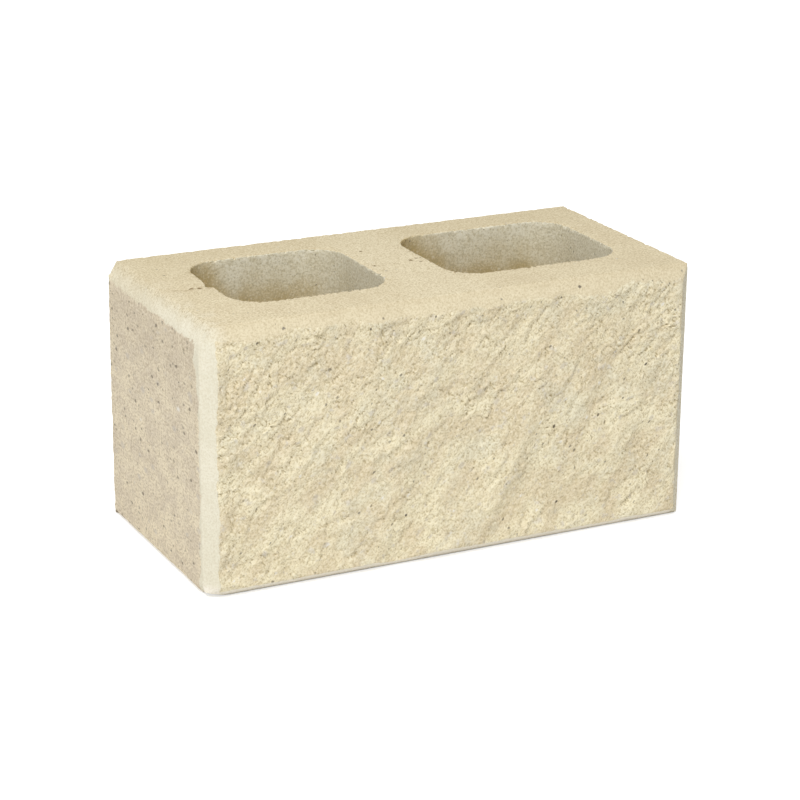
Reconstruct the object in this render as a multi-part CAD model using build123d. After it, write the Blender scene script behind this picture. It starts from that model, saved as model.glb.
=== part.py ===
"""A hollow split-face concrete block, with two tapered cores and moulded chamfers round its rock face."""

from build123d import *
import math
import os

# The block stands on its bottom bed: X runs along its length, Y from the split face to the back, Z up.
# All sizes are in millimetres, and the origin is in the middle of the bottom bed.
# The depth runs from the mean plane of the split face to the back.
length = 390.0
depth = 190.0
height = 200.0

# Webs and shells, measured on the top bed, where they are thickest.
left_end_web = 46.0
middle_web = 50.0
right_end_web = 30.0
front_shell = 46.0
back_shell = 31.0

# Cores. The right core takes the length that the left core and the webs leave.
left_core_length = 122.0
core_corner_radius = 26.0
core_draft = 2.0
core_rim_round = 1.5

# Chamfers that the mould leaves round the split face: how far each reaches back from the face,
# and how far it reaches in over the face.
top_chamfer_back = 6.1
top_chamfer_in = 10.6
bottom_chamfer_back = 7.9
bottom_chamfer_in = 6.6
right_chamfer_back = 6.1
right_chamfer_in = 7.3
left_chamfer_back = 11.5
left_chamfer_in = 8.8

# Chamfers of the left end: how far each reaches in over the bed, and how far it reaches along the end.
end_top_chamfer_in = 7.8
end_top_chamfer_down = 15.0
end_bottom_chamfer_in = 4.0
end_bottom_chamfer_up = 4.0
end_top_chamfer_round = 8.0

# Worn arrises of the other edges.
back_corner_round = 3.0
arris_round = 1.5

# Split face: how far its proudest point stands in front of its mean plane, and how much of that relief
# is left at the chamfers, where the split starts.
split_proud = 2.5
split_edge_share = 0.35
split_edge_fade = 24.0

# How close together the points of the split surface are, and how far the chamfers run on in front of it.
split_grid_pitch = 10.0
split_run_on = 6.0

# Broad swells of the split face: the way each one runs in degrees from X, its wavelength, its height
# and where it starts.
split_swells = [
    (-24, 131, 0.8, 40),
    (-35, 67, 0.7, 155),
    (9, 88, 0.5, 260),
    (74, 103, 0.5, 75),
    (-18, 43, 0.45, 310),
]

# Ridges of the split face, which lean to the right: foot and head on X and Z, and height.
split_ridges = [
    ((-171, 34), (-132, 148), 1.5),
    ((-59, 13), (-32, 81), 1.3),
    ((-23, 131), (-2, 186), 1.4),
    ((24, 20), (63, 92), 1.9),
    ((104, 100), (134, 147), 1.6),
    ((129, 30), (149, 82), 1.2),
]
ridge_steep_side = 8.0
ridge_gentle_side = 17.0
ridge_end_fade = 18.0

# Places that follow from the sizes above.
left_end = -length / 2
right_end = length / 2
back = (depth + split_proud) / 2
face = back - depth
core_depth = depth - front_shell - back_shell
core_centre_y = back - back_shell - core_depth / 2
right_core_length = length - left_end_web - left_core_length - middle_web - right_end_web
left_core_centre_x = left_end + left_end_web + left_core_length / 2
right_core_centre_x = right_end - right_end_web - right_core_length / 2


def run_on(reach_in, reach_back):
    """Gives how far a chamfer is in from its edge where it has run on in front of the face."""
    return reach_in * (reach_back + split_run_on) / reach_back


def moulded_blank():
    """Crosses the plan, the side profile and the end profile, so that the chamfers mitre as in the mould."""
    nose = face - split_run_on
    plan = [
        (left_end, back),
        (right_end, back),
        (right_end, face + right_chamfer_back),
        (right_end - run_on(right_chamfer_in, right_chamfer_back), nose),
        (left_end + run_on(left_chamfer_in, left_chamfer_back), nose),
        (left_end, face + left_chamfer_back),
    ]
    side = [
        (back, 0),
        (back, height),
        (face + top_chamfer_back, height),
        (nose, height - run_on(top_chamfer_in, top_chamfer_back)),
        (nose, run_on(bottom_chamfer_in, bottom_chamfer_back)),
        (face + bottom_chamfer_back, 0),
    ]
    end = [
        (right_end, 0),
        (right_end, height),
        (left_end + end_top_chamfer_in, height),
        (left_end, height - end_top_chamfer_down),
        (left_end, end_bottom_chamfer_up),
        (left_end + end_bottom_chamfer_in, 0),
    ]
    plan_face = make_face(Polyline(*plan, close=True))
    plan_face = fillet(plan_face.vertices().group_by(Axis.Y)[-1], back_corner_round)
    side_face = make_face(Polyline(*side, close=True))
    end_face = make_face(Polyline(*end, close=True))
    end_face = fillet(end_face.vertices().group_by(Axis.X)[0].sort_by(Axis.Y)[-1], end_top_chamfer_round)
    blank = extrude(plan_face, amount=height)
    blank &= extrude(Plane.YZ * side_face, amount=length, both=True)
    blank &= extrude(Plane.XZ * end_face, amount=depth, both=True)
    bed_edges = blank.edges().group_by(Axis.Z)[-1]
    return fillet([bed_edges.sort_by(Axis.X)[-1], bed_edges.sort_by(Axis.Y)[-1]], arris_round)


def core(core_length, centre_x):
    """Lofts one core, which widens from the top bed to the bottom bed."""
    top = RectangleRounded(core_length, core_depth, core_corner_radius)
    bottom = RectangleRounded(
        core_length + 2 * core_draft,
        core_depth + 2 * core_draft,
        core_corner_radius + core_draft,
    )
    hollow = loft([bottom, Pos(0, 0, height) * top])
    return Pos(centre_x, core_centre_y, 0) * hollow


def ridge_height(x, z, foot, head, crest):
    """Height of one ridge at a point: steep on its right, gentle on its left, fading at both ends."""
    run_x = head[0] - foot[0]
    run_z = head[1] - foot[1]
    run = math.hypot(run_x, run_z)
    along = ((x - foot[0]) * run_x + (z - foot[1]) * run_z) / run
    across = ((x - foot[0]) * run_z - (z - foot[1]) * run_x) / run
    beyond = max(0.0, -along, along - run)
    side = ridge_steep_side if across > 0 else ridge_gentle_side
    return crest * math.exp(-((across / side) ** 2) - (beyond / ridge_end_fade) ** 2)


def edge_calm(x, z):
    """Share of the relief that is left at a point: little at the chamfers, all of it well inside them."""
    inside = min(x - left_end, right_end - x, z, height - z)
    rise = min(1.0, max(0.0, inside / split_edge_fade))
    return split_edge_share + (1 - split_edge_share) * rise


def relief(x, z):
    """Height of the rock face in front of its mean plane, before it is brought to its proudest height."""
    total = 0.0
    for heading, wavelength, swell, start in split_swells:
        way = math.radians(heading)
        travel = (x * math.cos(way) + z * math.sin(way)) / wavelength
        total += swell * math.sin(math.tau * travel + math.radians(start))
    for foot, head, crest in split_ridges:
        total += ridge_height(x, z, foot, head, crest)
    return total * edge_calm(x, z)


def rock_face():
    """Makes the split surface, past the block on every side, with its proudest point in the front plane."""
    columns = math.ceil(length / split_grid_pitch) + 2
    rows = math.ceil(height / split_grid_pitch) + 2
    across = [left_end - split_grid_pitch + i * split_grid_pitch for i in range(columns + 1)]
    up = [-split_grid_pitch + j * split_grid_pitch for j in range(rows + 1)]
    heights = [[relief(x, z) for x in across] for z in up]
    mean = sum(sum(row) for row in heights) / (len(across) * len(up))
    proudest = max(max(row[1:-1]) for row in heights[1:-1]) - mean
    profiles = []
    for z, row in zip(up, heights):
        points = [(x, face - (h - mean) * split_proud / proudest, z) for x, h in zip(across, row)]
        profiles.append(Wire([Edge.make_spline(points)]))
    return Shell.make_loft(profiles).face()


def concrete_block():
    """Cuts the cores and the split surface out of the moulded blank, and rounds the cores' rims."""
    block = moulded_blank()
    block -= core(left_core_length, left_core_centre_x)
    block -= core(right_core_length, right_core_centre_x)
    rims = [wire.edges() for wire in block.faces().sort_by(Axis.Z)[-1].inner_wires()]
    block = fillet(rims, core_rim_round)
    behind_split = extrude(rock_face(), amount=2 * depth, dir=(0, 1, 0))
    return block & behind_split


os.makedirs("parts", exist_ok=True)
block = concrete_block().solids()[0]
block.label = "concrete_block"
export_step(block, "parts/concrete_block.step")
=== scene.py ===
"""Looks of a hollow split-face concrete block: its rock face, moulded skin, speckled ends and core walls."""

import math

import bmesh
import bpy
from mathutils import Matrix, Vector, noise
from mathutils.bvhtree import BVHTree


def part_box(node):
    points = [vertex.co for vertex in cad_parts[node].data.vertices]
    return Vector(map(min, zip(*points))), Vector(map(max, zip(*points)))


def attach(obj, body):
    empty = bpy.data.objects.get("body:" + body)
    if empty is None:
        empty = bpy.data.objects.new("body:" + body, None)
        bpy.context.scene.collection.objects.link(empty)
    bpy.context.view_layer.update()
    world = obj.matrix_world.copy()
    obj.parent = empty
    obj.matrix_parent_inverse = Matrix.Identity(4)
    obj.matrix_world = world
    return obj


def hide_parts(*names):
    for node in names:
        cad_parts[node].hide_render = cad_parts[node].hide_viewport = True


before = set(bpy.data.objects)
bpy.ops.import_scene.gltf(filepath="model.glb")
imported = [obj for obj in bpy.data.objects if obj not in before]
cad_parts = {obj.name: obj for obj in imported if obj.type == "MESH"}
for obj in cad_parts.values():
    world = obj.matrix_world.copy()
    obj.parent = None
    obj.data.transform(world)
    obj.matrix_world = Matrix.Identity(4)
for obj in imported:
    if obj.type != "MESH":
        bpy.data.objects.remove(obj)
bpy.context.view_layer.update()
NODE = "concrete_block"
LOW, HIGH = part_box(NODE)
MM = 0.001

# Sizes of the block that the frame's box doesn't give, in metres.
SPLIT_PROUD = 2.5 * MM
FACE_Y = LOW.y + SPLIT_PROUD
LEFT_CORE = (LOW.x + 46 * MM, LOW.x + 168 * MM)
RIGHT_CORE = (HIGH.x - 172 * MM, HIGH.x - 30 * MM)
CORE_Y = (FACE_Y + 46 * MM, HIGH.y - 31 * MM)
CORE_CORNER = 26 * MM
CORE_DRAFT = 2 * MM
CORE_RIM = 1.0 * MM
BACK_ROUND = 3 * MM
ARRIS_ROUND = 1.5 * MM
BOTTOM_ROUND = 1 * MM

# Chamfers round the split face: how far each reaches back from it, and in over it.
TOP_CHAMFER = (6.1 * MM, 10.6 * MM)
BOTTOM_CHAMFER = (7.9 * MM, 6.6 * MM)
RIGHT_CHAMFER = (6.1 * MM, 7.3 * MM)
LEFT_CHAMFER = (11.5 * MM, 8.8 * MM)

# Chamfers of the left end: how far each reaches in over the bed, and along the end.
END_TOP_CHAMFER = (7.8 * MM, 15 * MM)
END_BOTTOM_CHAMFER = (4 * MM, 4 * MM)

# Mesh pitch before the faces are divided, and how many cuts each kind of face then gets.
PITCH = 5.8 * MM
SPLIT_CUTS = 4
END_CUTS = 2
BED_CUTS = 1
RIM_CUTS = 2
CORE_ROWS = 14
CUT_SLACK = 1e-6

# Depths of the core walls' rows, as shares of the rim's radius: at both rims, and below the top ones.
RIM_ROWS = (0.13, 0.4, 1.0)
ROWS_BELOW_RIM = (2.0, 3.5, 6.0)

# Grid lines inside the rounded edges, in from the sides and up from the bottom, and beside the mould's line.
SIDE_LINE = 1 * MM
BOTTOM_LINE = 1.2 * MM
BESIDE_MOULD_LINE = 0.5 * MM

# Depth over which the sides take up the front's chamfers, length over which the block takes up the end's, and
# rounding of the end's shoulder.
TAKE_UP_FRONT = 18 * MM
TAKE_UP_END = 30 * MM
END_ROUND = 2 * MM

# How far round a core the bed's mesh is evened out, on X and Y, and rounds of that and of each step of wear.
BED_EASE = (20 * MM, 14 * MM)
BED_EASE_ROUNDS = 12
WEAR_ROUNDS = 8

# Line that the mould's halves leave across the webs: its place, its wander and that wander's wave, its width,
# the size of its ragged bits, and its depth on the left web and elsewhere.
MOULD_LINE_Y = 1.5 * MM
MOULD_LINE_WANDER = 5 * MM
MOULD_LINE_WAVE = 13 * MM
MOULD_LINE_WIDTH = 2.2 * MM
MOULD_LINE_BITS = 6 * MM
MOULD_LINE_LEFT_DEPTH = 0.8 * MM
MOULD_LINE_DEPTH = 0.3 * MM

# How far the halves miss each other in the left core, and how much of its rim is bitten out behind the line.
# The fades, in millimetres, run along the wall, and the bite's also runs down it.
MOULD_STEP = 1.6 * MM
MOULD_STEP_FADE = 24
STEP_BEFORE_LINE = -0.3
STEP_BEFORE_FADE = 10
RIM_BITE = 3.4 * MM
RIM_BITE_FADE = 9
RIM_BITE_DOWN = 12

# Crumbs missing from the rims of the cores, and chips from the worn outer edges: depth, size and reach.
CRUMB_DEPTH = 2.8 * MM
CRUMB_SIZE = 2.6 * MM
CRUMB_REACH = 1.5 * MM
CHIP_DEPTH = 2.2 * MM
CHIP_SIZE = 3.4 * MM
CHIP_REACH = 2.2 * MM

# Broken stone, in millimetres: heights of its scarps and main ridges, and how far its ground lies back.
LARGE_SCARP = 1.5
SMALL_SCARP = 0.95
MAIN_RIDGE = 1.2
GROUND_BEHIND = 2.45

# Share of a scarp that climbs gently, and widths in millimetres of a main ridge's sides and faded ends.
SCARP_GENTLE = 0.75
RIDGE_STEEP = 2.6
RIDGE_GENTLE = 13
RIDGE_END = 14

# Main ridges of the split face, which lean to the right: foot and head on X and Z, in millimetres.
RIDGES = [
    ((-171, 34), (-132, 148)),
    ((-59, 13), (-32, 81)),
    ((-23, 131), (-2, 186)),
    ((24, 20), (63, 92)),
    ((104, 100), (134, 147)),
    ((129, 30), (149, 82)),
]

# Small pits in the top bed: their places on X and Y and their radii, in millimetres.
PITS = [
    (-165, 3.5, 1.9), (-159.5, 1.7, 1.6), (10.6, 4.4, 2.0), (17, 7.5, 1.4), (20.5, 8.6, 1.2),
    (15.7, -1.9, 1.2), (-20.4, 2.1, 1.6), (-12.8, 41.5, 1.4), (-18, -14, 1.0),
]

# Regions of the mesh, in the order of the materials, and the depth in millimetres of each one's unevenness.
BED, SPLIT, END, CORE, PLAIN = range(5)
SKIN_DEPTH = {BED: 0.1, END: 0.42, CORE: 0.26, PLAIN: 0.14, SPLIT: 0.06}
CENTRE = (LOW + HIGH) / 2

# Faces that meet at more than this angle keep a sharp edge between them.
SHARP_ANGLE = math.radians(40)

# Studio: the even light's strength, the floor's half width and tone, and its glow at two reaches.
WORLD_STRENGTH = 0.58
FLOOR_REACH = 6.0
FLOOR_TONE = 0.82
FLOOR_GLOW = (0.55, 0.75)
FLOOR_GLOW_REACH = (0.4, 1.2)


def clamp(value, low, high):
    """Keeps a value between a low and a high one."""
    return min(max(value, low), high)


def stations(fixed, pitch):
    """Places of the cuts along one axis: the fixed ones, and even steps of about the pitch between them."""
    places = []
    for start, end in zip(fixed, fixed[1:]):
        steps = max(1, round((end - start) / pitch))
        places += [start + (end - start) * i / steps for i in range(steps)]
    return places[1:]


def faces_of(bm, region):
    """The faces of a region."""
    return [f for f in bm.faces if f.material_index == region]


def verts_of(faces):
    """The vertices of faces."""
    return {v for f in faces for v in f.verts}


def edges_of(faces):
    """The edges of faces."""
    return {e for f in faces for e in f.edges}


def cut(bm, faces, axis, place):
    """Cuts faces across one axis at a place on it."""
    normal = Vector()
    normal[axis] = 1
    geom = faces + list(edges_of(faces)) + list(verts_of(faces))
    bmesh.ops.bisect_plane(bm, geom=geom, dist=CUT_SLACK, plane_co=normal * place, plane_no=normal)


def cut_box():
    """A box of the block's size, cut into a grid with lines on its chamfers and cores."""
    bm = bmesh.new()
    size = HIGH - LOW
    bmesh.ops.create_cube(bm, size=1, matrix=Matrix.Translation(CENTRE) @ Matrix.Diagonal(size).to_4x4())
    lines = {
        0: [LOW.x, LOW.x + SIDE_LINE, LOW.x + BACK_ROUND, LOW.x + END_TOP_CHAMFER[0], *LEFT_CORE, *RIGHT_CORE,
            HIGH.x - BACK_ROUND, HIGH.x - SIDE_LINE, HIGH.x],
        1: [LOW.y, LOW.y + TAKE_UP_FRONT, CORE_Y[0], MOULD_LINE_Y - BESIDE_MOULD_LINE,
            MOULD_LINE_Y + BESIDE_MOULD_LINE, CORE_Y[1], HIGH.y - BACK_ROUND, HIGH.y - SIDE_LINE, HIGH.y],
        2: [LOW.z, LOW.z + BOTTOM_LINE, LOW.z + END_BOTTOM_CHAMFER[1], HIGH.z - END_TOP_CHAMFER[1],
            HIGH.z - ARRIS_ROUND, HIGH.z],
    }
    for axis, fixed in lines.items():
        for place in stations(fixed, PITCH):
            cut(bm, bm.faces[:], axis, place)
    for face in bm.faces:
        if abs(face.normal.z) > 0.5:
            face.material_index = BED
        elif face.normal.y < -0.5:
            face.material_index = SPLIT
        elif face.normal.x < -0.5:
            face.material_index = END
        else:
            face.material_index = PLAIN
    return bm


def within(value, span, slack=0.0):
    """Whether a value lies in a span, widened by the slack."""
    return span[0] - slack < value < span[1] + slack


def rise(edge):
    """How far one end of an edge lies above the other."""
    return abs(edge.verts[0].co.z - edge.verts[1].co.z)


def open_cores(bm):
    """Opens the two cores in both beds, and joins each pair of openings with the core's walls."""
    for core_x in (LEFT_CORE, RIGHT_CORE):
        mouth = []
        for face in faces_of(bm, BED):
            centre = face.calc_center_median()
            if within(centre.x, core_x) and within(centre.y, CORE_Y):
                mouth.append(face)
        bmesh.ops.delete(bm, geom=mouth, context="FACES")
        rims = [e for e in bm.edges if e.is_boundary]
        walls = bmesh.ops.bridge_loops(bm, edges=rims)["faces"]
        for face in walls:
            face.material_index = CORE
        divide(bm, [e for e in edges_of(walls) if rise(e) > 1 * MM], CORE_ROWS)
    levels = [HIGH.z - share * CORE_RIM for share in RIM_ROWS + ROWS_BELOW_RIM]
    levels += [LOW.z + share * CORE_RIM for share in RIM_ROWS]
    for level in levels:
        cut(bm, faces_of(bm, CORE), axis=2, place=level)


def rim_edges(bm):
    """The level edges of the cores' top rims, where crumbs can be missing."""
    lowest = HIGH.z - 1.05 * CORE_RIM
    edges = edges_of(faces_of(bm, CORE))
    return {e for e in edges if min(v.co.z for v in e.verts) > lowest and rise(e) < CUT_SLACK}


def divide(bm, edges, cuts):
    """Divides edges, and the faces between them, into smaller ones."""
    bmesh.ops.subdivide_edges(bm, edges=list(edges), cuts=cuts, use_grid_fill=True)


def rim_flare(co):
    """How much wider a core is at a point of its wall because its rims are rounded."""
    to_bed = min(HIGH.z - co.z, co.z - LOW.z)
    short = max(0.0, CORE_RIM - to_bed)
    return CORE_RIM - math.sqrt(CORE_RIM**2 - short**2)


def rounded_mouth(co, core_x):
    """Moves a point of a core's wall to the core's rounded and drafted outline."""
    wider = CORE_DRAFT * (HIGH.z - co.z) / (HIGH.z - LOW.z) + rim_flare(co)
    middle_x = sum(core_x) / 2
    middle_y = sum(CORE_Y) / 2
    half_x = (core_x[1] - core_x[0]) / 2
    half_y = (CORE_Y[1] - CORE_Y[0]) / 2
    away = Vector((co.x - middle_x, co.y - middle_y))
    sign = Vector((math.copysign(1, away.x), math.copysign(1, away.y)))
    past = Vector((abs(away.x) - half_x + CORE_CORNER, abs(away.y) - half_y + CORE_CORNER))
    if past.x > 0 and past.y > 0:
        past = past.normalized() * (CORE_CORNER + wider)
    else:
        past += Vector((wider * (past.x > 0), wider * (past.y > 0)))
    reach = Vector((half_x - CORE_CORNER, half_y - CORE_CORNER)) + past
    co.x = middle_x + sign.x * reach.x
    co.y = middle_y + sign.y * reach.y


def mould_step(co):
    """How far the left wall of the left core steps out behind the line where the mould's halves meet."""
    behind = (co.y - MOULD_LINE_Y) / MM
    if behind > 0:
        below = (HIGH.z - co.z) / MM
        bite = RIM_BITE * math.exp(-((behind / RIM_BITE_FADE) ** 2) - (below / RIM_BITE_DOWN) ** 2)
        return MOULD_STEP * math.exp(-((behind / MOULD_STEP_FADE) ** 2)) + bite
    return STEP_BEFORE_LINE * MOULD_STEP * math.exp(-((behind / STEP_BEFORE_FADE) ** 2))


def smooth(bm, verts, rounds, upright):
    """Smooths vertices in so many rounds, up and down too or only in the level plane."""
    axes = {"use_axis_x": True, "use_axis_y": True, "use_axis_z": upright}
    for _ in range(rounds):
        bmesh.ops.smooth_vert(bm, verts=verts, factor=0.5, **axes)


def shape_cores(bm):
    """Rounds the cores' corners, gives their walls their draft and evens out the beds round them."""
    for core_x in (LEFT_CORE, RIGHT_CORE):
        for v in verts_of(faces_of(bm, CORE)):
            if within(v.co.x, core_x, 1 * MM):
                rounded_mouth(v.co, core_x)
                if v.co.x < LEFT_CORE[0] + 4 * MM:
                    v.co.x -= mould_step(v.co)
    along, across = BED_EASE
    fixed = verts_of(f for f in bm.faces if f.material_index != BED)
    near = [
        v for v in verts_of(faces_of(bm, BED)) - fixed
        if within(v.co.y, CORE_Y, across)
        and (within(v.co.x, LEFT_CORE, along) or within(v.co.x, RIGHT_CORE, along))
    ]
    for v in near:
        aside = (LEFT_CORE[0] - v.co.x) / along
        if 0 < aside < 1:
            v.co.x -= mould_step(v.co) * (1 - aside)
    smooth(bm, near, BED_EASE_ROUNDS, upright=False)


def frame_surface():
    """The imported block's own surface, to be met by rays."""
    bm = bmesh.new()
    bm.from_mesh(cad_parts[NODE].data)
    tree = BVHTree.FromBMesh(bm)
    bm.free()
    return tree


def chamfer_place(x, z):
    """How far back the mould's chamfers hold the front at a point, as a Y place."""
    planes = []
    for (back, inward), away in (
        (TOP_CHAMFER, HIGH.z - z),
        (BOTTOM_CHAMFER, z - LOW.z),
        (RIGHT_CHAMFER, HIGH.x - x),
        (LEFT_CHAMFER, x - LOW.x),
    ):
        planes.append(FACE_Y + back - away * back / inward)
    return max(planes)


def turned(x, z, lean):
    """Coordinates along and across a direction that leans by so many degrees from the horizontal."""
    turn = math.radians(lean)
    return x * math.cos(turn) + z * math.sin(turn), x * math.sin(turn) - z * math.cos(turn)


def ripples(x, y, size, start, other_size=None):
    """Noise at a point of a plane, with features of about the size, or of another size on the second axis."""
    return noise.noise(Vector((x / size, y / (other_size or size), start)))


def scarps(x, z, spacing, lean, start):
    """Height, 0 to 1, of broken steps that climb gently from the upper left and drop steeply at the right."""
    along, across = turned(x, z, lean)
    wander = 1.1 * ripples(along, across, 1.8 * spacing, start, 1.3 * spacing)
    wander += 0.5 * ripples(along, across, 0.6 * spacing, start + 5, 0.5 * spacing)
    wander += 0.2 * ripples(along, across, 0.24 * spacing, start + 9, 0.2 * spacing)
    step = (across / spacing + wander) % 1.0
    return step / SCARP_GENTLE if step < SCARP_GENTLE else (1 - step) / (1 - SCARP_GENTLE)


def main_ridges(x, z):
    """Height, 0 to 1, of the large broken ridges at a point: gentle on their left, steep on their right."""
    jag = 5 * ripples(x, z, 11 * MM, 41.0) + 2.4 * ripples(x, z, 3.6 * MM, 43.0)
    highest = 0.0
    for foot, head in RIDGES:
        run = Vector(head) - Vector(foot)
        out = Vector((x / MM, z / MM)) - Vector(foot)
        along = out.dot(run) / run.length
        across = (out.x * run.y - out.y * run.x) / run.length + jag
        beyond = max(0.0, -along, along - run.length) / RIDGE_END
        side = RIDGE_STEEP if across > 0 else RIDGE_GENTLE
        whole = clamp(0.6 + 1.1 * noise.noise(Vector((along / 15, foot[0], 47.0))), 0.1, 1.0)
        highest = max(highest, whole * math.exp(-((across / side) ** 2) - beyond * beyond))
    return highest


def roughness_of_place(x, z):
    """Share of the relief at a point: the stone broke rougher along its top and at both ends."""
    along = (x - LOW.x) / (HIGH.x - LOW.x)
    up = (z - LOW.z) / (HIGH.z - LOW.z)
    ends = 0.3 * math.exp(-((along / 0.14) ** 2)) + 0.25 * math.exp(-(((1 - along) / 0.16) ** 2))
    return 0.8 + 0.45 * up + ends * (0.5 + 0.5 * up)


def crumbling(x, z, lean, start):
    """Height of the stone's broken grain at a point: short ridges, crumbs and pits that lean one way."""
    along, across = turned(x, z, lean)
    ridges = ripples(along, across, 6 * MM, start, 3 * MM)
    chips = noise.voronoi(Vector((along / (4.4 * MM), across / (3 * MM), start + 4)))[0]
    pits = ripples(along, across, 2.8 * MM, start + 16, 1.7 * MM)
    return 0.6 * ridges + 0.7 * (chips[1] - chips[0]) + 0.5 * pits


def split_relief(x, z):
    """How far the broken stone lies behind the frame's surface at a point, and how deep in a hollow it is,
    for the painted shade of its hollows.
    """
    steep = clamp(0.5 + 1.6 * ripples(x, z, 34 * MM, 3.1), 0.0, 1.0)
    patch = 0.5 + 1.1 * ripples(x, z, 26 * MM, 11.0)
    rough = 0.75 + 0.6 * ripples(x, z, 17 * MM, 15.0)
    rough *= roughness_of_place(x, z)
    large = scarps(x, z, 24 * MM, 47, 1.0) * max(0.1, patch)
    small = steep * scarps(x, z, 9 * MM, 54, 8.0) + (1 - steep) * scarps(x, z, 10 * MM, 34, 12.0)
    small *= max(0.2, 0.9 - 0.5 * patch) * roughness_of_place(x, z)
    grit = ripples(x, z, 1.3 * MM, 33.0)
    fine = steep * crumbling(x, z, 60, 5.3) + (1 - steep) * crumbling(x, z, 28, 9.1)
    fine = rough * (1.1 * fine + 0.4 * grit)
    height = LARGE_SCARP * large + SMALL_SCARP * small + MAIN_RIDGE * main_ridges(x, z) + fine
    return max(0.0, GROUND_BEHIND - height) * MM, 0.35 - fine


def stands_proud(x, z):
    """How far the stone stands out where it starts at the chamfers, before it falls back to the rest."""
    inside = min(
        x - LOW.x - LEFT_CHAMFER[1], HIGH.x - RIGHT_CHAMFER[1] - x,
        z - LOW.z - BOTTOM_CHAMFER[1], HIGH.z - TOP_CHAMFER[1] - z,
    )
    uneven = 1.4 + 2.2 * ripples(x, z, 19 * MM, 51.0)
    return uneven * MM * math.exp(-((max(0.0, inside) / (11 * MM)) ** 2))


def away_from(place, co):
    """Distance of a point from a place that is given on two axes or on all three."""
    return math.hypot(*(co[axis] - value for axis, value in place.items()))


def soften(bm):
    """Wears the chamfers' edges and corners, in steps that close in on each of these places."""
    worn = (
        ({1: FACE_Y + TOP_CHAMFER[0], 2: HIGH.z}, (4, 2.5)),
        ({0: LOW.x + END_TOP_CHAMFER[0], 2: HIGH.z}, (6, 4)),
        ({0: LOW.x, 2: HIGH.z - END_TOP_CHAMFER[1]}, (4, 2.5)),
        ({0: LOW.x, 1: FACE_Y + LEFT_CHAMFER[0]}, (1.8,)),
        ({0: LOW.x + 4 * MM, 1: FACE_Y + 7 * MM, 2: HIGH.z - 7 * MM}, (13, 10, 8)),
        ({0: LOW.x + 3 * MM, 1: FACE_Y + 8 * MM, 2: LOW.z + 2 * MM}, (11, 9, 8)),
    )
    for place, reaches in worn:
        for reach in reaches:
            near = [v for v in bm.verts if away_from(place, v.co) < reach * MM]
            smooth(bm, near, WEAR_ROUNDS, upright=True)


def wear_bottom_corner(bm):
    """Wears off the corner of the bottom bed where the pale end meets the split face."""
    reach = 15 * MM
    for v in bm.verts:
        across = (v.co.x - LOW.x - END_BOTTOM_CHAMFER[0]) / reach
        back = (v.co.y - FACE_Y - BOTTOM_CHAMFER[0]) / reach
        if v.co.z < 20 * MM and across < 1 and back < 1:
            outside = math.hypot(1 - across, 1 - back) - 1
            v.co.z = max(v.co.z, 0.55 * reach * outside)


def shape_front(bm):
    """Moves the front to the broken stone or to the moulded chamfers, whichever lies further back, and keeps
    how deep each point lies in a hollow, for painted shade.
    """
    surface = frame_surface()
    depth = bm.verts.layers.float.new("split_depth")
    hollow = bm.verts.layers.float.new("split_crease_shade")
    inner_x = (LOW.x + LEFT_CHAMFER[1] + 3 * MM, HIGH.x - RIGHT_CHAMFER[1] - 3 * MM)
    inner_z = (LOW.z + BOTTOM_CHAMFER[1] + 3 * MM, HIGH.z - TOP_CHAMFER[1] - 3 * MM)
    front = verts_of(faces_of(bm, SPLIT))
    for v in front:
        x, z = v.co.x, v.co.z
        start = Vector((clamp(x, *inner_x), LOW.y - 50 * MM, clamp(z, *inner_z)))
        solid_y = surface.ray_cast(start, Vector((0, 1, 0)))[0].y
        behind, v[hollow] = split_relief(x, z)
        broken = max(LOW.y, solid_y + behind - stands_proud(x, z))
        moulded = chamfer_place(x, z)
        v.co.y = max(broken, moulded)
        v[depth] = clamp((broken - moulded) / MM, -4.0, 4.0)
    # A point that lies behind its neighbours, in a crease, gets more painted shade.
    for v in front:
        around = [edge.other_vert(v).co.y for edge in v.link_edges]
        v[hollow] = 0.5 * v[hollow] + 1.6 * (v.co.y - sum(around) / len(around)) / MM
    for v in bm.verts:
        if v not in front and v.co.y < LOW.y + TAKE_UP_FRONT:
            share = (v.co.y - LOW.y) / TAKE_UP_FRONT
            edge = chamfer_place(v.co.x, v.co.z)
            v.co.y = edge + (LOW.y + TAKE_UP_FRONT - edge) * share
    return front


def end_inset(z):
    """How far in the left end lies at a height, because of the chamfers at its top and bottom."""
    over = (z - (HIGH.z - END_TOP_CHAMFER[1])) * END_TOP_CHAMFER[0] / END_TOP_CHAMFER[1]
    under = (LOW.z + END_BOTTOM_CHAMFER[1] - z) * END_BOTTOM_CHAMFER[0] / END_BOTTOM_CHAMFER[1]
    if abs(over) < END_ROUND / 2:
        return (over + END_ROUND / 2) ** 2 / (2 * END_ROUND)
    return max(0.0, over, under)


def shape_left_end(bm):
    """Leans the top and the bottom of the left end in, to make its chamfers."""
    for v in bm.verts:
        from_end = v.co.x - LOW.x
        if from_end < TAKE_UP_END:
            v.co.x += end_inset(v.co.z) * (1 - from_end / TAKE_UP_END)


def round_arris(co, first, second, places, radius):
    """Moves a point that lies outside a rounded edge onto its arc."""
    outward = [math.copysign(1, places[0] - CENTRE[first]), math.copysign(1, places[1] - CENTRE[second])]
    past = Vector((
        (co[first] - places[0]) * outward[0] + radius,
        (co[second] - places[1]) * outward[1] + radius,
    ))
    if past.x > 0 and past.y > 0:
        past = past.normalized() * radius
        co[first] = places[0] + (past.x - radius) * outward[0]
        co[second] = places[1] + (past.y - radius) * outward[1]


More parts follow.
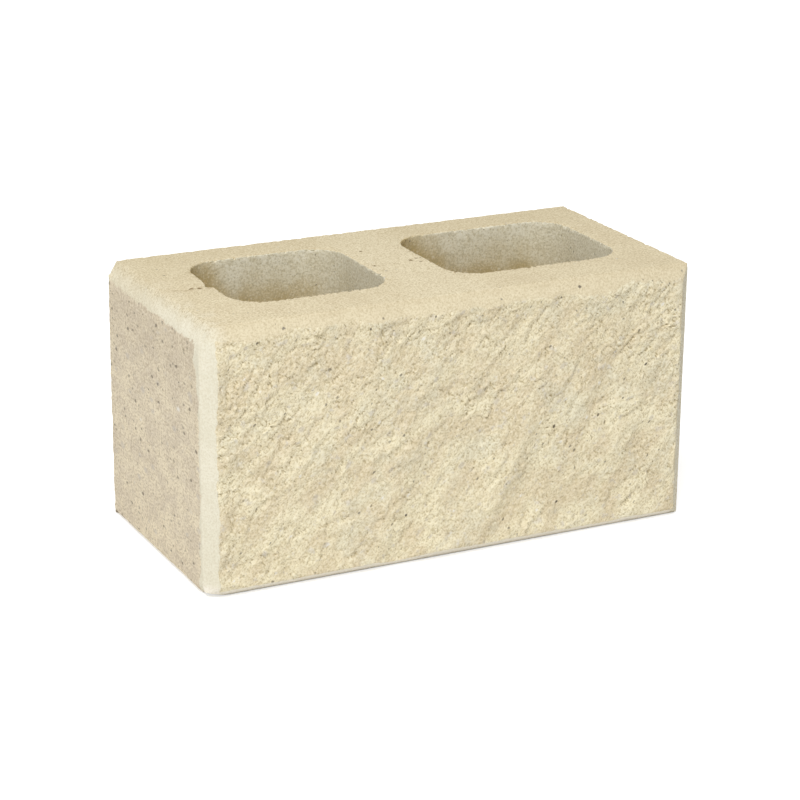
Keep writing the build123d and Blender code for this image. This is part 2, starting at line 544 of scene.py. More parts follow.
def round_arrises(bm, front):
    """Rounds the back corners and the worn arrises of the beds."""
    for v in bm.verts:
        if v in front:
            continue
        for x_side in (LOW.x, HIGH.x):
            round_arris(v.co, 0, 1, (x_side, HIGH.y), BACK_ROUND)
        for bed, radius in ((HIGH.z, ARRIS_ROUND), (LOW.z, BOTTOM_ROUND)):
            round_arris(v.co, 0, 2, (HIGH.x, bed), radius)
            round_arris(v.co, 1, 2, (HIGH.y, bed), radius)


def finish_rims(bm):
    """Divides the top rims of the cores finely, and gives half of every rim the bed's skin."""
    divide(bm, rim_edges(bm), RIM_CUTS)
    for face in faces_of(bm, CORE):
        height = face.calc_center_median().z
        if min(HIGH.z - height, height - LOW.z) < 0.5 * CORE_RIM:
            face.material_index = BED


def from_core(co):
    """Distance of a point of a bed from the nearest core's outline, or a long way if it isn't near one."""
    nearest = 1.0
    for core_x in (LEFT_CORE, RIGHT_CORE):
        half = Vector(((core_x[1] - core_x[0]) / 2, (CORE_Y[1] - CORE_Y[0]) / 2))
        away_x = abs(co.x - sum(core_x) / 2) - half.x + CORE_CORNER
        away_y = abs(co.y - sum(CORE_Y) / 2) - half.y + CORE_CORNER
        outside = math.hypot(max(away_x, 0), max(away_y, 0)) + min(max(away_x, away_y), 0) - CORE_CORNER
        nearest = min(nearest, abs(outside))
    return nearest


def from_back_arris(co):
    """Distance of a point from the nearest worn edge: those round the back, and the top of the right end."""
    to_back = HIGH.y - co.y
    to_end = min(co.x - LOW.x, HIGH.x - co.x)
    to_bed = min(co.z - LOW.z, HIGH.z - co.z)
    return min(math.hypot(to_back, to_end), math.hypot(to_back, to_bed), math.hypot(HIGH.x - co.x, to_bed))


def skin_relief(co, region):
    """Height of the moulded skin's own unevenness at a point, by region."""
    coarse = noise.noise(co / (18 * MM))
    sand = noise.fractal(co / (4 * MM), 0.9, 2.1, 3)
    return (0.6 * coarse + sand) * SKIN_DEPTH[region] * MM


def mould_line(co):
    """Depth of the ragged line that the mould leaves across the top of the webs."""
    wander = MOULD_LINE_WANDER * noise.noise(Vector((co.x / MOULD_LINE_WAVE, 0.0, 4.0)))
    across = (co.y - MOULD_LINE_Y - wander) / MOULD_LINE_WIDTH
    ragged = noise.fractal(Vector((co.x / MOULD_LINE_BITS, co.y / MOULD_LINE_BITS, 2.0)), 0.9, 2.0, 3)
    deepest = MOULD_LINE_LEFT_DEPTH if co.x < LEFT_CORE[0] else MOULD_LINE_DEPTH
    return deepest * max(0.0, ragged) * math.exp(-across * across)


def rim_crumb(co, normal):
    """Move of a point near the top rim of a core, down and away from the core, where a crumb is missing."""
    inward = Vector((normal.x, normal.y, 0.0))
    if inward.length > 0.02:
        inward.normalize()
    aside = from_core(co)
    to_rim = math.hypot(aside, HIGH.z - co.z)
    foot = (co + aside * inward) / CRUMB_SIZE
    crumb = noise.fractal(Vector((foot.x, foot.y, 7.0)), 0.8, 2.0, 2)
    depth = CRUMB_DEPTH * max(0.0, crumb - 0.05) * math.exp(-((to_rim / CRUMB_REACH) ** 2))
    return -depth * (inward + Vector((0, 0, 1))) / math.sqrt(2)


def arris_chip(co):
    """Move of a point near a worn outer edge, into the block, where a chip is missing."""
    chip = noise.fractal(co / CHIP_SIZE, 0.8, 2.0, 2)
    depth = CHIP_DEPTH * max(0.0, chip - 0.1) * math.exp(-((from_back_arris(co) / CHIP_REACH) ** 2))
    outward = Vector()
    for axis, side in ((0, LOW.x), (0, HIGH.x), (1, HIGH.y), (2, LOW.z), (2, HIGH.z)):
        if abs(co[axis] - side) < 5 * MM:
            outward[axis] = math.copysign(1, side - CENTRE[axis])
    return -depth * outward.normalized()


def roughen(bm):
    """Adds the skin's unevenness, the crumbs of the rims and the mould line, inside the block's own box."""
    bm.normal_update()
    depth = bm.verts.layers.float["split_depth"]
    moves = {}
    for v in bm.verts:
        regions = {f.material_index for f in v.link_faces}
        if regions == {SPLIT} and v[depth] > 0.3:
            continue
        height = sum(skin_relief(v.co, r) for r in regions) / len(regions)
        missing = arris_chip(v.co)
        if v.co.z > HIGH.z - 4 * MM:
            missing += rim_crumb(v.co, v.normal)
            height -= mould_line(v.co)
        moves[v] = v.normal * (height - 0.1 * MM) + missing
    for v, move in moves.items():
        co = v.co + move
        v.co = Vector(clamp(co[i], LOW[i], HIGH[i]) for i in range(3))


def face_outwards(bm):
    """Turns every face of the closed mesh outwards."""
    bmesh.ops.recalc_face_normals(bm, faces=bm.faces[:])
    if bm.calc_volume(signed=True) < 0:
        bmesh.ops.reverse_faces(bm, faces=bm.faces[:])


def block_mesh():
    """Builds the block's mesh, region by region."""
    bm = cut_box()
    open_cores(bm)
    face_outwards(bm)
    divide(bm, edges_of(faces_of(bm, SPLIT)), SPLIT_CUTS)
    top_bed = [f for f in faces_of(bm, BED) if f.calc_center_median().z > CENTRE.z]
    divide(bm, edges_of(top_bed) | rim_edges(bm), BED_CUTS)
    divide(bm, edges_of(faces_of(bm, END)), END_CUTS)
    shape_cores(bm)
    shape_left_end(bm)
    front = shape_front(bm)
    round_arrises(bm, front)
    wear_bottom_corner(bm)
    soften(bm)
    finish_rims(bm)
    roughen(bm)
    bmesh.ops.triangulate(bm, faces=[f for f in bm.faces if len(f.verts) > 4])
    face_outwards(bm)
    for face in bm.faces:
        face.smooth = True
    mesh = bpy.data.meshes.new("split_face_block")
    bm.to_mesh(mesh)
    bm.free()
    mesh.set_sharp_from_angle(angle=SHARP_ANGLE)
    return mesh


def linear(red, green, blue):
    """Colour for a shader from the red, green and blue of a screen, each 0 to 255."""
    def one(value):
        value /= 255
        return value / 12.92 if value <= 0.04045 else ((value + 0.055) / 1.055) ** 2.4
    return (one(red), one(green), one(blue), 1.0)


def feed(tree, node, inputs):
    """Links or sets inputs of a node."""
    for socket, value in inputs.items():
        if isinstance(value, bpy.types.NodeSocket):
            tree.links.new(value, node.inputs[socket])
        else:
            node.inputs[socket].default_value = value


def add_node(tree, kind, inputs=None, **settings):
    """Adds a shader node with its settings and its inputs."""
    made = tree.nodes.new(kind)
    for name, value in settings.items():
        setattr(made, name, value)
    feed(tree, made, inputs or {})
    return made


def maths(tree, operation, first, second=0.0, third=0.0):
    """Adds a Math node and gives its value."""
    inputs = {0: first, 1: second, 2: third}
    return add_node(tree, "ShaderNodeMath", inputs, operation=operation).outputs[0]


def times(tree, first, second):
    """Adds a Math node that multiplies, and gives its value."""
    return maths(tree, "MULTIPLY", first, second)


def remap(tree, value, low, high, to_low=0.0, to_high=1.0):
    """Adds a smooth, clamped Map Range node and gives its value."""
    inputs = {"Value": value, "From Min": low, "From Max": high, "To Min": to_low, "To Max": to_high}
    node = add_node(tree, "ShaderNodeMapRange", inputs, interpolation_type="SMOOTHSTEP", clamp=True)
    return node.outputs["Result"]


def mapped(tree, position, socket, value):
    """Gives the position turned or stretched, by the Mapping node's socket of that name."""
    return add_node(tree, "ShaderNodeMapping", {"Vector": position, socket: value}).outputs["Vector"]


def noise_value(tree, position, size, detail=3.0, roughness=0.6):
    """Adds a noise pattern whose features are about so many millimetres across, and gives its value."""
    inputs = {"Vector": position, "Scale": 1 / size, "Detail": detail, "Roughness": roughness}
    return add_node(tree, "ShaderNodeTexNoise", inputs).outputs["Fac"]


def offset(tree, position, size, reach, detail=3.0, roughness=0.6):
    """Gives a noise pattern's value as a distance, up to the reach to either side."""
    value = noise_value(tree, position, size, detail, roughness)
    return maths(tree, "MULTIPLY_ADD", value, 2 * reach, -reach)


def cell_pattern(tree, position, scale):
    """Adds a pattern of uneven cells, and gives its outputs."""
    inputs = {"Vector": position, "Scale": scale, "Randomness": 1.0}
    return add_node(tree, "ShaderNodeTexVoronoi", inputs).outputs


def bent(tree, position, scale, reach):
    """Gives the position moved by noise, up to the reach, so that outlines come out ragged."""
    bend = add_node(tree, "ShaderNodeTexNoise", {"Vector": position, "Scale": scale, "Detail": 2.0})
    inputs = {0: bend.outputs["Color"], 1: (reach, reach, reach), 2: position}
    return add_node(tree, "ShaderNodeVectorMath", inputs, operation="MULTIPLY_ADD").outputs[0]


def axes_of(tree, position):
    """Gives the three coordinates of the position."""
    return add_node(tree, "ShaderNodeSeparateXYZ", {"Vector": position}).outputs


def mix_colour(tree, share, first, second):
    """Adds a colour Mix node and gives its colour."""
    inputs = {0: share, 6: first, 7: second}
    return add_node(tree, "ShaderNodeMix", inputs, data_type="RGBA", blend_type="MIX").outputs[2]


def new_group(name, inputs, outputs):
    """Starts a shader node group with named inputs, each with its default, and named outputs."""
    group = bpy.data.node_groups.new(name, "ShaderNodeTree")
    for socket, (kind, default) in inputs.items():
        made = group.interface.new_socket(name=socket, in_out="INPUT", socket_type=kind)
        if default is not None:
            made.default_value = default
    for socket, kind in outputs.items():
        group.interface.new_socket(name=socket, in_out="OUTPUT", socket_type=kind)
    start = group.nodes.new("NodeGroupInput")
    end = group.nodes.new("NodeGroupOutput")
    return group, start.outputs, end.inputs


FLOAT = "NodeSocketFloat"
VECTOR = "NodeSocketVector"


def sand_grain_group():
    """Sand held in cement: a tone about one half, which follows the height and is used for the grain's
    painted shade and highlight, and a height in millimetres, both at the grain's size.
    """
    group, start, end = new_group(
        "sand_grain",
        {"Position": (VECTOR, None), "Grain size": (FLOAT, 1.0), "Depth": (FLOAT, 0.1)},
        {"Tone": FLOAT, "Height": FLOAT},
    )
    small = maths(group, "DIVIDE", 1.0, start["Grain size"])
    inputs = {"Vector": start["Position"], "Scale": small, "Detail": 3.0, "Roughness": 0.6}
    fine = add_node(group, "ShaderNodeTexNoise", inputs).outputs["Fac"]
    grains = cell_pattern(group, start["Position"], times(group, small, 0.55))
    round_top = maths(group, "SUBTRACT", 0.75, grains["Distance"])
    both = maths(group, "MULTIPLY_ADD", round_top, 0.35, fine)
    group.links.new(maths(group, "MULTIPLY_ADD", round_top, 0.12, fine), end["Tone"])
    group.links.new(times(group, both, start["Depth"]), end["Height"])
    return group


def speck_group():
    """Scattered bits of aggregate: a mask of uneven rounded specks, set by how many cells hold one."""
    group, start, end = new_group(
        "aggregate_specks",
        {
            "Position": (VECTOR, None), "Spacing": (FLOAT, 4.0), "Share": (FLOAT, 0.3),
            "Speck size": (FLOAT, 0.2),
        },
        {"Mask": FLOAT},
    )
    scale = maths(group, "DIVIDE", 1.0, start["Spacing"])
    cells = cell_pattern(group, bent(group, start["Position"], 0.5, 2.2), scale)
    pick = add_node(group, "ShaderNodeSeparateColor", {"Color": cells["Color"]}).outputs
    held = maths(group, "LESS_THAN", pick["Red"], start["Share"])
    radius = times(group, start["Speck size"], maths(group, "ADD", pick["Green"], 0.35))
    inside = maths(group, "SUBTRACT", radius, cells["Distance"])
    soft = maths(group, "DIVIDE", inside, times(group, radius, 0.5))
    mask = add_node(group, "ShaderNodeClamp", {"Value": soft})
    group.links.new(times(group, mask.outputs[0], held), end["Mask"])
    return group


def bloom_group():
    """Pale bloom of cement that spreads from the left end over the bed, strongest at the front."""
    group, start, end = new_group(
        "cement_bloom", {"Position": (VECTOR, None), "Reach": (FLOAT, 30.0)}, {"Mask": FLOAT}
    )
    axes = axes_of(group, start["Position"])
    drift = offset(group, start["Position"], 15.0, 25.0)
    edge = maths(group, "ADD", start["Reach"], LOW.x / MM)
    inward = maths(group, "SUBTRACT", edge, maths(group, "ADD", axes["X"], drift))
    near = remap(group, inward, -6.0, 22.0)
    front = remap(group, maths(group, "ADD", axes["Y"], drift), 70.0, -70.0, 0.15, 0.75)
    group.links.new(times(group, near, front), end["Mask"])
    return group


def place_group(tree, group, position, values):
    """Places a node group that reads the position, with its own values."""
    return add_node(tree, "ShaderNodeGroup", {"Position": position, **values}, node_tree=group).outputs


def bloom_mask(tree, groups, position, reach):
    """Places the pattern of the cement's bloom with its own reach, and gives its mask."""
    return place_group(tree, groups["bloom"], position, {"Reach": reach})["Mask"]


def speck_mask(tree, groups, position, spacing, share, size):
    """Places the pattern of specks with its own values, and gives its mask."""
    values = {"Spacing": spacing, "Share": share, "Speck size": size}
    return place_group(tree, groups["speck"], position, values)["Mask"]


def cast_look(tree, groups, position, look, washes=()):
    """Colour and height of one kind of concrete skin: blotches, washes, sand grain with painted shade in its
    hollows and painted highlight on its crests, and bits of aggregate.
    """
    for kind, socket in (("turn", "Rotation"), ("stretch", "Scale")):
        if kind in look:
            position = mapped(tree, position, socket, look[kind])
    values = {"Grain size": look["grain"], "Depth": look["depth"]}
    grain = place_group(tree, groups["grain"], position, values)
    blotch = noise_value(tree, position, look["blotch"])
    colour = mix_colour(tree, remap(tree, blotch, 0.36, 0.64), look["base"], look["second"])
    for share, tint in washes:
        colour = mix_colour(tree, share, colour, tint)
    # The grain's tone follows its height: its low parts take the hollow tint as painted shade, and its high
    # parts take the crest tint as painted highlight.
    low = times(tree, remap(tree, grain["Tone"], 0.62, 0.3), look["dark"])
    high = times(tree, remap(tree, grain["Tone"], 0.5, 0.8), look["light"])
    colour = mix_colour(tree, low, colour, look["hollow"])
    colour = mix_colour(tree, high, colour, look["crest"])
    height = grain["Height"]
    for tint, spacing, share, size, strength in look["specks"]:
        mask = speck_mask(tree, groups, position, spacing, share, size)
        colour = mix_colour(tree, times(tree, mask, strength), colour, tint)
    return colour, height


def finish_material(tree, colour, height):
    """Links the colour and the height to a dull concrete shader."""
    bump = add_node(tree, "ShaderNodeBump", {"Strength": 1.0, "Distance": MM, "Height": height})
    feed(tree, tree.nodes["Principled BSDF"], {
        "Base Color": colour, "Normal": bump.outputs["Normal"], "Roughness": 0.95, "Specular IOR Level": 0.15,
    })


def start_material(name):
    """Starts a material, and gives its tree and the place on the block in millimetres."""
    material = bpy.data.materials.new(name)
    material.use_nodes = True
    tree = material.node_tree
    place = add_node(tree, "ShaderNodeTexCoord").outputs["Object"]
    scaled = add_node(tree, "ShaderNodeVectorMath", {0: place, "Scale": 1 / MM}, operation="SCALE")
    return material, tree, scaled.outputs[0]


def mix_looks(tree, share, first, second):
    """Mixes the colours and the heights of two looks."""
    heights = {0: share, 2: first[1], 3: second[1]}
    height = add_node(tree, "ShaderNodeMix", heights, data_type="FLOAT").outputs[0]
    return mix_colour(tree, share, first[0], second[0]), height


BLACK = linear(82, 74, 64)
SOOT = linear(100, 92, 80)
DARK = linear(122, 113, 97)
BROWN = linear(150, 126, 84)
GREY = linear(198, 191, 182)
WHITE = linear(252, 250, 244)
BLOOM = linear(233, 225, 202)

# Tints of the washes over the looks, by region.
BED_BACK = linear(206, 192, 158)
BED_MIDDLE = linear(238, 228, 199)
# Painted shade inside the small pits of the top bed.
BED_PIT_SHADE = linear(132, 106, 66)
CREAM_LOWER = linear(236, 225, 195)
# Painted light on the bottom chamfer, which faces down: it is lightened past its pale skin.
PALE_BOTTOM_PAINTED_LIGHT = linear(252, 245, 230)
STONE_UPPER = linear(228, 212, 178)
STONE_COOL = linear(228, 224, 202)
STONE_CHIPS = linear(214, 209, 204)
# Painted shade of the broken stone's hollows, and darker painted shade for its deepest creases.
STONE_HOLLOW_SHADE = linear(180, 164, 126)
STONE_DEEP_HOLLOW_SHADE = linear(140, 122, 88)
# Painted shade of the left end, towards its top chamfer.
END_SHADE = linear(205, 191, 168)
# Painted shade of the cores' walls: deep down and towards their left, and on their right walls.
CORE_DEEP_SHADE = linear(195, 170, 108)
CORE_RIGHT_WALL_SHADE = linear(212, 206, 184)
SIDE_BROAD = linear(216, 202, 176)
SIDE_DRAG = linear(244, 234, 212)

# Looks. Blotch, grain and depth are in millimetres, and dark and light are the strengths of the painted shade
# in the grain's hollows and the painted highlight on its crests. Each kind of speck has its tint, its cells'
# spacing, the share of cells that hold one, its size as a share of that, and strength.
SKIN = {
    "base": linear(224, 211, 179), "second": linear(218, 204, 172), "hollow": linear(188, 172, 136),
    "crest": linear(238, 227, 199), "blotch": 26.0, "grain": 1.3, "depth": 0.14, "dark": 0.95, "light": 0.7,
    "specks": [(DARK, 9.0, 0.3, 0.11, 0.7), (WHITE, 9.0, 0.15, 0.1, 0.5)],
}
CREAM = dict(SKIN, depth=0.09, dark=0.6, light=0.5)
PALE = dict(SKIN, base=linear(238, 232, 211), second=linear(233, 227, 205), hollow=linear(216, 207, 182),
            crest=linear(242, 238, 221), dark=0.6, light=0.5, specks=[(DARK, 12.0, 0.2, 0.08, 0.5)])
# Grey skin of the right chamfer, painted with the cool tint of its shade.
COOL_SHADE_SKIN = dict(SKIN, base=linear(231, 226, 206), second=linear(222, 216, 196), crest=linear(238, 232, 214))
PLAIN_SPECKS = [(GREY, 9.0, 0.4, 0.26, 0.35), (BROWN, 5.2, 0.45, 0.22, 0.35), (DARK, 4.4, 0.4, 0.18, 0.45),
                (SOOT, 8.5, 0.35, 0.14, 0.6), (WHITE, 12.0, 0.25, 0.13, 0.5)]
STONE = {
    "base": linear(250, 240, 208), "second": linear(233, 218, 186), "hollow": linear(191, 176, 137),
    "crest": linear(250, 243, 218), "blotch": 22.0, "grain": 1.25, "depth": 0.4, "dark": 0.75, "light": 0.65,
    "turn": (0.0, math.radians(46), 0.0), "stretch": (0.7, 1.0, 1.1),
    "specks": [(GREY, 12.0, 0.4, 0.27, 0.45), (BROWN, 7.0, 0.35, 0.12, 0.5), (DARK, 7.5, 0.4, 0.13, 0.8),
               (BLACK, 17.0, 0.4, 0.075, 0.95), (WHITE, 9.0, 0.3, 0.13, 0.65)],
}
SPECKLED = {
    "base": linear(240, 227, 199), "second": linear(222, 209, 186), "hollow": linear(184, 168, 141),
    "crest": linear(244, 233, 209), "blotch": 15.0, "grain": 1.5, "depth": 0.26, "dark": 0.75, "light": 0.6,
    "stretch": (1.0, 0.6, 1.0),
    "specks": [(GREY, 9.0, 0.45, 0.28, 0.45), (BROWN, 5.2, 0.5, 0.26, 0.4), (DARK, 4.4, 0.55, 0.25, 0.46),
               (SOOT, 7.2, 0.5, 0.2, 0.68), (WHITE, 12.0, 0.4, 0.2, 0.75)],
}
PLAIN_LOOK = dict(SPECKLED, depth=0.2, dark=0.65, stretch=(1.0, 1.0, 1.0), specks=PLAIN_SPECKS)
INSIDE = {
    "base": linear(245, 240, 219), "second": linear(235, 228, 203), "hollow": linear(186, 175, 142),
    "crest": linear(249, 244, 226), "blotch": 16.0, "grain": 1.5, "depth": 0.26, "dark": 0.66, "light": 0.6,
    "specks": [(DARK, 5.0, 0.45, 0.16, 0.8)],
}


def pit_mask(tree, position):
    """Mask of the small pits in the top bed, with ragged outlines."""
    reach = 3.0
    ragged = bent(tree, position, 0.6, reach)
    mask = 0.0
    for x, y, radius in PITS:
        centre = [value + reach / 2 for value in (x, y, HIGH.z / MM)]
        away = add_node(tree, "ShaderNodeVectorMath", {0: ragged, 1: centre}, operation="DISTANCE")
        mask = maths(tree, "MAXIMUM", mask, remap(tree, away.outputs["Value"], radius, 0.5 * radius))
    return mask


def bed_skin(tree, groups, position):
    """Smooth skin of the beds, darker and warmer along the ragged line that the mould leaves."""
    axes = axes_of(tree, position)
    drifted = maths(tree, "ADD", axes["Y"], offset(tree, position, 40.0, 30.0, 2.0, 0.5))
    back = remap(tree, drifted, -5.0, 90.0, 0.0, 0.5)
    back = times(tree, back, remap(tree, axes["X"], 150.0, 188.0, 1.0, 0.5))
    bloom = bloom_mask(tree, groups, position, 18.0)
    middle = remap(tree, maths(tree, "ABSOLUTE", axes["X"]), 45.0, 15.0, 0.0, 0.3)
    washes = [(back, BED_BACK), (middle, BED_MIDDLE), (bloom, BLOOM)]
    colour, height = cast_look(tree, groups, position, SKIN, washes)
    from_line = maths(tree, "SUBTRACT", axes["Y"], MOULD_LINE_Y / MM)
    off = maths(tree, "ABSOLUTE", maths(tree, "ADD", from_line, offset(tree, position, 10.0, 8.0)))
    broken = remap(tree, noise_value(tree, position, 9.0), 0.44, 0.66)
    line = times(tree, remap(tree, off, 4.0, 0.3), broken)
    fainter = remap(tree, axes["X"], LEFT_CORE[0] / MM, RIGHT_CORE[0] / MM, 0.5, 0.2)
    colour = mix_colour(tree, times(tree, line, fainter), colour, BROWN)
    pits = pit_mask(tree, position)
    # Painted shade: the pits darker inside.
    colour = mix_colour(tree, times(tree, pits, 0.85), colour, BED_PIT_SHADE)
    return colour, maths(tree, "MULTIPLY_ADD", pits, -0.8, height)


def front_skin(tree, groups, position):
    """Moulded skin of the chamfers: pale at the left and the bottom, with painted light on the bottom one,
    grey at the right as painted cool shade, cream at the top.
    """
    axes = axes_of(tree, position)
    left_line = (LOW.x + LEFT_CHAMFER[1]) / MM
    left = remap(tree, axes["X"], left_line + 5, left_line - 1)
    left = times(tree, left, remap(tree, axes["Z"], HIGH.z / MM - 5, HIGH.z / MM - 13, 0.4, 1.0))
    from_right = maths(tree, "SUBTRACT", HIGH.x / MM, axes["X"])
    from_top = maths(tree, "SUBTRACT", HIGH.z / MM, axes["Z"])
    in_from_right = maths(tree, "DIVIDE", from_right, RIGHT_CHAMFER[1] / MM)
    in_from_top = maths(tree, "DIVIDE", from_top, TOP_CHAMFER[1] / MM)
    mitre = remap(tree, maths(tree, "SUBTRACT", in_from_top, in_from_right), 0.0, 0.3)
    right = times(tree, remap(tree, in_from_right, 1.15, 0.8), mitre)
    bottom = remap(tree, axes["Z"], 12.0, 6.0)
    lower = remap(tree, axes["Z"], HIGH.z / MM - 0.5, HIGH.z / MM - 6, 0.0, 0.3)
    bloom = bloom_mask(tree, groups, position, 22.0)
    cream, sand = cast_look(tree, groups, position, CREAM, [(lower, CREAM_LOWER), (bloom, BLOOM)])
    specks = speck_mask(tree, groups, position, 9.0, 0.5, 0.14)
    cream = mix_colour(tree, times(tree, specks, 0.8), cream, DARK)
    # Painted shade: the right chamfer takes a cool grey tint.
    dull = cast_look(tree, groups, position, COOL_SHADE_SKIN)
    # Painted light: the bottom chamfer lightened past its pale skin.
    pale = cast_look(tree, groups, position, PALE, [(bottom, PALE_BOTTOM_PAINTED_LIGHT)])
    skin = mix_looks(tree, maths(tree, "MAXIMUM", left, bottom), (cream, sand), pale)
    return mix_looks(tree, right, skin, dull)


def split_stone(tree, groups, position):
    """Broken stone of the split face, inside the smooth moulded chamfers."""
    depth = add_node(tree, "ShaderNodeAttribute", attribute_name="split_depth").outputs["Fac"]
    axes = axes_of(tree, position)
    upper = remap(tree, axes["Z"], 90.0, 190.0, 0.0, 0.25)
    chips = remap(tree, noise_value(tree, position, 7.0), 0.58, 0.7, 0.0, 0.5)
    cool = remap(tree, noise_value(tree, position, 26.0), 0.5, 0.66, 0.0, 0.45)
    washes = [(upper, STONE_UPPER), (cool, STONE_COOL), (chips, STONE_CHIPS)]
    stone, grain = cast_look(tree, groups, position, STONE, washes)
    # Painted shade: the stone darker in its hollows, and darker still in its deepest creases.
    hollow = add_node(tree, "ShaderNodeAttribute", attribute_name="split_crease_shade").outputs["Fac"]
    stone = mix_colour(tree, remap(tree, hollow, 0.2, 0.85, 0.0, 0.8), stone, STONE_HOLLOW_SHADE)
    stone = mix_colour(tree, remap(tree, hollow, 0.8, 1.5, 0.0, 0.6), stone, STONE_DEEP_HOLLOW_SHADE)
    specks = speck_mask(tree, groups, position, 6.5, 0.5, 0.15)
    specks = times(tree, specks, remap(tree, axes["Z"], 160.0, 188.0, 0.15, 0.85))
    stone = mix_colour(tree, specks, stone, SOOT)
    skin = front_skin(tree, groups, position)
    ragged = maths(tree, "ADD", depth, offset(tree, position, 4.0, 1.2, 2.0, 0.6))
    broken = remap(tree, ragged, -0.1, 0.3)
    return mix_looks(tree, broken, skin, (stone, grain))


def speckled_end(tree, groups, position):
    """Speckled left end, with pale moulded skin along its front and its top chamfer."""
    axes = axes_of(tree, position)
    wave = offset(tree, position, 9.0, 6.5, 4.0, 0.7)
    swing = offset(tree, position, 32.0, 10.0, 1.0, 0.5)
    spread = remap(tree, axes["Z"], HIGH.z / MM - 60, HIGH.z / MM - 15, 2.4, 10.0)
    line = maths(tree, "ADD", maths(tree, "ADD", spread, swing), (FACE_Y + LEFT_CHAMFER[0]) / MM)
    front = maths(tree, "SUBTRACT", line, maths(tree, "ADD", axes["Y"], wave))
    over = maths(tree, "SUBTRACT", maths(tree, "ADD", axes["Z"], wave), (HIGH.z - END_TOP_CHAMFER[1]) / MM)
    pale_share = remap(tree, maths(tree, "MAXIMUM", front, over), -0.6, 0.6)
    skin = cast_look(tree, groups, position, SKIN, [(bloom_mask(tree, groups, position, 22.0), BLOOM)])
    flat = remap(tree, maths(tree, "ADD", axes["Z"], wave), HIGH.z / MM + 1, HIGH.z / MM - 11)
    upright = remap(tree, maths(tree, "ADD", axes["Y"], wave), 60.0, FACE_Y / MM + 20, 0.45, 0.9)
    pale = cast_look(tree, groups, position, PALE)
    pale = mix_looks(tree, times(tree, flat, upright), skin, pale)
    # Painted shade: the end darker towards its top chamfer.
    shade = remap(tree, over, -75.0, 0.0, 0.0, 0.5)
    speckled = cast_look(tree, groups, position, SPECKLED, [(shade, END_SHADE)])
    return mix_looks(tree, pale_share, speckled, pale)


def core_wall(tree, groups, position):
    """Grey-olive walls of the cores, with painted shade: browner and darker deep down and at their left, and
    greyer and darker at their right.
    """
    axes = axes_of(tree, position)
    second = maths(tree, "GREATER_THAN", axes["X"], (LEFT_CORE[1] + RIGHT_CORE[0]) / 2 / MM)
    left_wall = maths(tree, "MULTIPLY_ADD", second, (RIGHT_CORE[0] - LEFT_CORE[0]) / MM, LEFT_CORE[0] / MM)
    right_wall = maths(tree, "MULTIPLY_ADD", second, (RIGHT_CORE[1] - LEFT_CORE[1]) / MM, LEFT_CORE[1] / MM)
    from_left = maths(tree, "SUBTRACT", axes["X"], left_wall)
    from_right = maths(tree, "SUBTRACT", right_wall, axes["X"])
    reach = maths(tree, "MULTIPLY_ADD", second, 20.0, 46.0)
    sunk = remap(tree, from_left, reach, 0.0, 0.0, 42.0)
    lower = maths(tree, "SUBTRACT", offset(tree, position, 25.0, 20.0), sunk)
    deep = remap(tree, maths(tree, "ADD", axes["Z"], lower), HIGH.z / MM - 6, HIGH.z / MM - 50)
    # Painted shade: browner deep in a core and towards its left wall, and greyer on its right wall.
    brown = times(tree, deep, remap(tree, from_right, 26.0, 0.0, 0.92, 0.45))
    grey = remap(tree, from_right, 26.0, 0.0, 0.0, 0.6)
    return cast_look(tree, groups, position, INSIDE, [(brown, CORE_DEEP_SHADE), (grey, CORE_RIGHT_WALL_SHADE)])


def plain_side(tree, groups, position):
    """Plain moulded skin of the back and the right end, with faint upright marks of its drag in the mould."""
    broad = remap(tree, noise_value(tree, position, 70.0, 3.0, 0.55), 0.4, 0.65, 0.0, 0.4)
    upright = mapped(tree, position, "Scale", (1.0, 1.0, 0.06))
    drag = remap(tree, noise_value(tree, upright, 7.0), 0.5, 0.72, 0.0, 0.4)
    return cast_look(tree, groups, position, PLAIN_LOOK, [(broad, SIDE_BROAD), (drag, SIDE_DRAG)])


def build_materials(mesh):
    """Gives the mesh its finishes, in the order of its regions."""
    groups = {"grain": sand_grain_group(), "speck": speck_group(), "bloom": bloom_group()}
    finishes = {
        "bed_skin": bed_skin, "split_stone": split_stone, "speckled_end": speckled_end,
        "core_wall": core_wall, "plain_side": plain_side,
    }
    for name, finish in finishes.items():
        material, tree, position = start_material(name)
        finish_material(tree, *finish(tree, groups, position))
        mesh.materials.append(material)


def add_object(name, data):
    """Puts an object with its data in the scene."""
    made = bpy.data.objects.new(name, data)
    bpy.context.scene.collection.objects.link(made)
    return made


def build_block():
    """Makes the block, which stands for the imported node."""
    block = add_object("split_face_block", block_mesh())
    build_materials(block.data)
    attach(block, "root")
    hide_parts(NODE)


def seen_directly(tree):
    """Share of a ray that the camera sees, straight or by mirror or glass."""
    light = add_node(tree, "ShaderNodeLightPath").outputs
    seen = maths(tree, "ADD", light["Is Camera Ray"], light["Is Glossy Ray"])
    return maths(tree, "MINIMUM", maths(tree, "ADD", seen, light["Is Transmission Ray"]), 1.0)


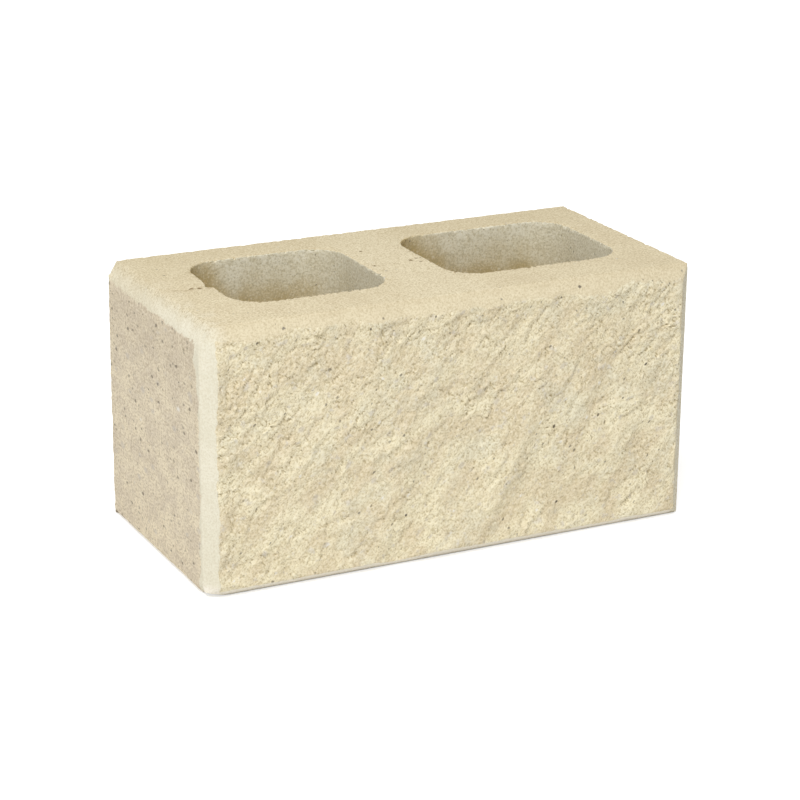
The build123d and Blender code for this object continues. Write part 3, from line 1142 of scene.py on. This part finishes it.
def build_floor():
    """A plain white floor that keeps the block's soft shadow."""
    bm = bmesh.new()
    bmesh.ops.create_grid(bm, x_segments=1, y_segments=1, size=FLOOR_REACH)
    mesh = bpy.data.meshes.new("floor")
    bm.to_mesh(mesh)
    bm.free()
    floor = add_object("floor", mesh)
    material = bpy.data.materials.new("white_floor")
    material.use_nodes = True
    tree = material.node_tree
    place = add_node(tree, "ShaderNodeTexCoord").outputs["Object"]
    away = add_node(tree, "ShaderNodeVectorMath", {0: place}, operation="LENGTH").outputs["Value"]
    glow = remap(tree, away, *FLOOR_GLOW_REACH, *FLOOR_GLOW)
    feed(tree, tree.nodes["Principled BSDF"], {
        "Base Color": (FLOOR_TONE, FLOOR_TONE, FLOOR_TONE, 1), "Roughness": 1.0, "Specular IOR Level": 0.0,
        "Emission Color": (1, 1, 1, 1), "Emission Strength": times(tree, seen_directly(tree), glow),
    })
    mesh.materials.append(material)


def build_light():
    """Even light from all round, and a broad soft lamp from the front left."""
    world = bpy.data.worlds.new("studio")
    bpy.context.scene.world = world
    world.use_nodes = True
    tree = world.node_tree
    tree.nodes.clear()
    plain = add_node(tree, "ShaderNodeBackground", {"Color": (1, 1, 1, 1), "Strength": WORLD_STRENGTH})
    white = add_node(tree, "ShaderNodeBackground", {"Color": (1, 1, 1, 1), "Strength": 1.0})
    share = seen_directly(tree)
    mix = add_node(tree, "ShaderNodeMixShader", {0: share, 1: plain.outputs[0], 2: white.outputs[0]})
    out = add_node(tree, "ShaderNodeOutputWorld", {"Surface": mix.outputs[0]})
    out.is_active_output = True
    lamp("key", place=(-1.1, -1.22, 2.45), size=0.9, power=46)


def lamp(name, place, size, power):
    """A square soft lamp that faces the block."""
    data = bpy.data.lights.new(name, "AREA")
    data.shape = "SQUARE"
    data.size = size
    data.energy = power
    made = add_object(name, data)
    made.location = place
    aim = CENTRE - Vector(place)
    made.rotation_euler = aim.to_track_quat("-Z", "Y").to_euler()


def build_camera():
    """The photograph's viewing angle: from the front left, looking a little down."""
    azimuth, elevation, roll = math.radians(-26.69), math.radians(19.02), math.radians(0.5166)
    distance = 1.9243
    aim = Vector((0.0138, 0.0262, 0.0827))
    turn = Matrix.Rotation(azimuth, 4, "Z") @ Matrix.Rotation(math.pi / 2 - elevation, 4, "X")
    turn = turn @ Matrix.Rotation(roll, 4, "Z")
    data = bpy.data.cameras.new("camera")
    data.sensor_width = 36.0
    data.lens = 113.05
    camera = add_object("camera", data)
    camera.matrix_world = Matrix.Translation(aim + turn.to_3x3() @ Vector((0, 0, distance))) @ turn
    bpy.context.scene.camera = camera


build_block()
build_floor()
build_light()
build_camera()
bpy.context.scene.view_settings.view_transform = "Standard"
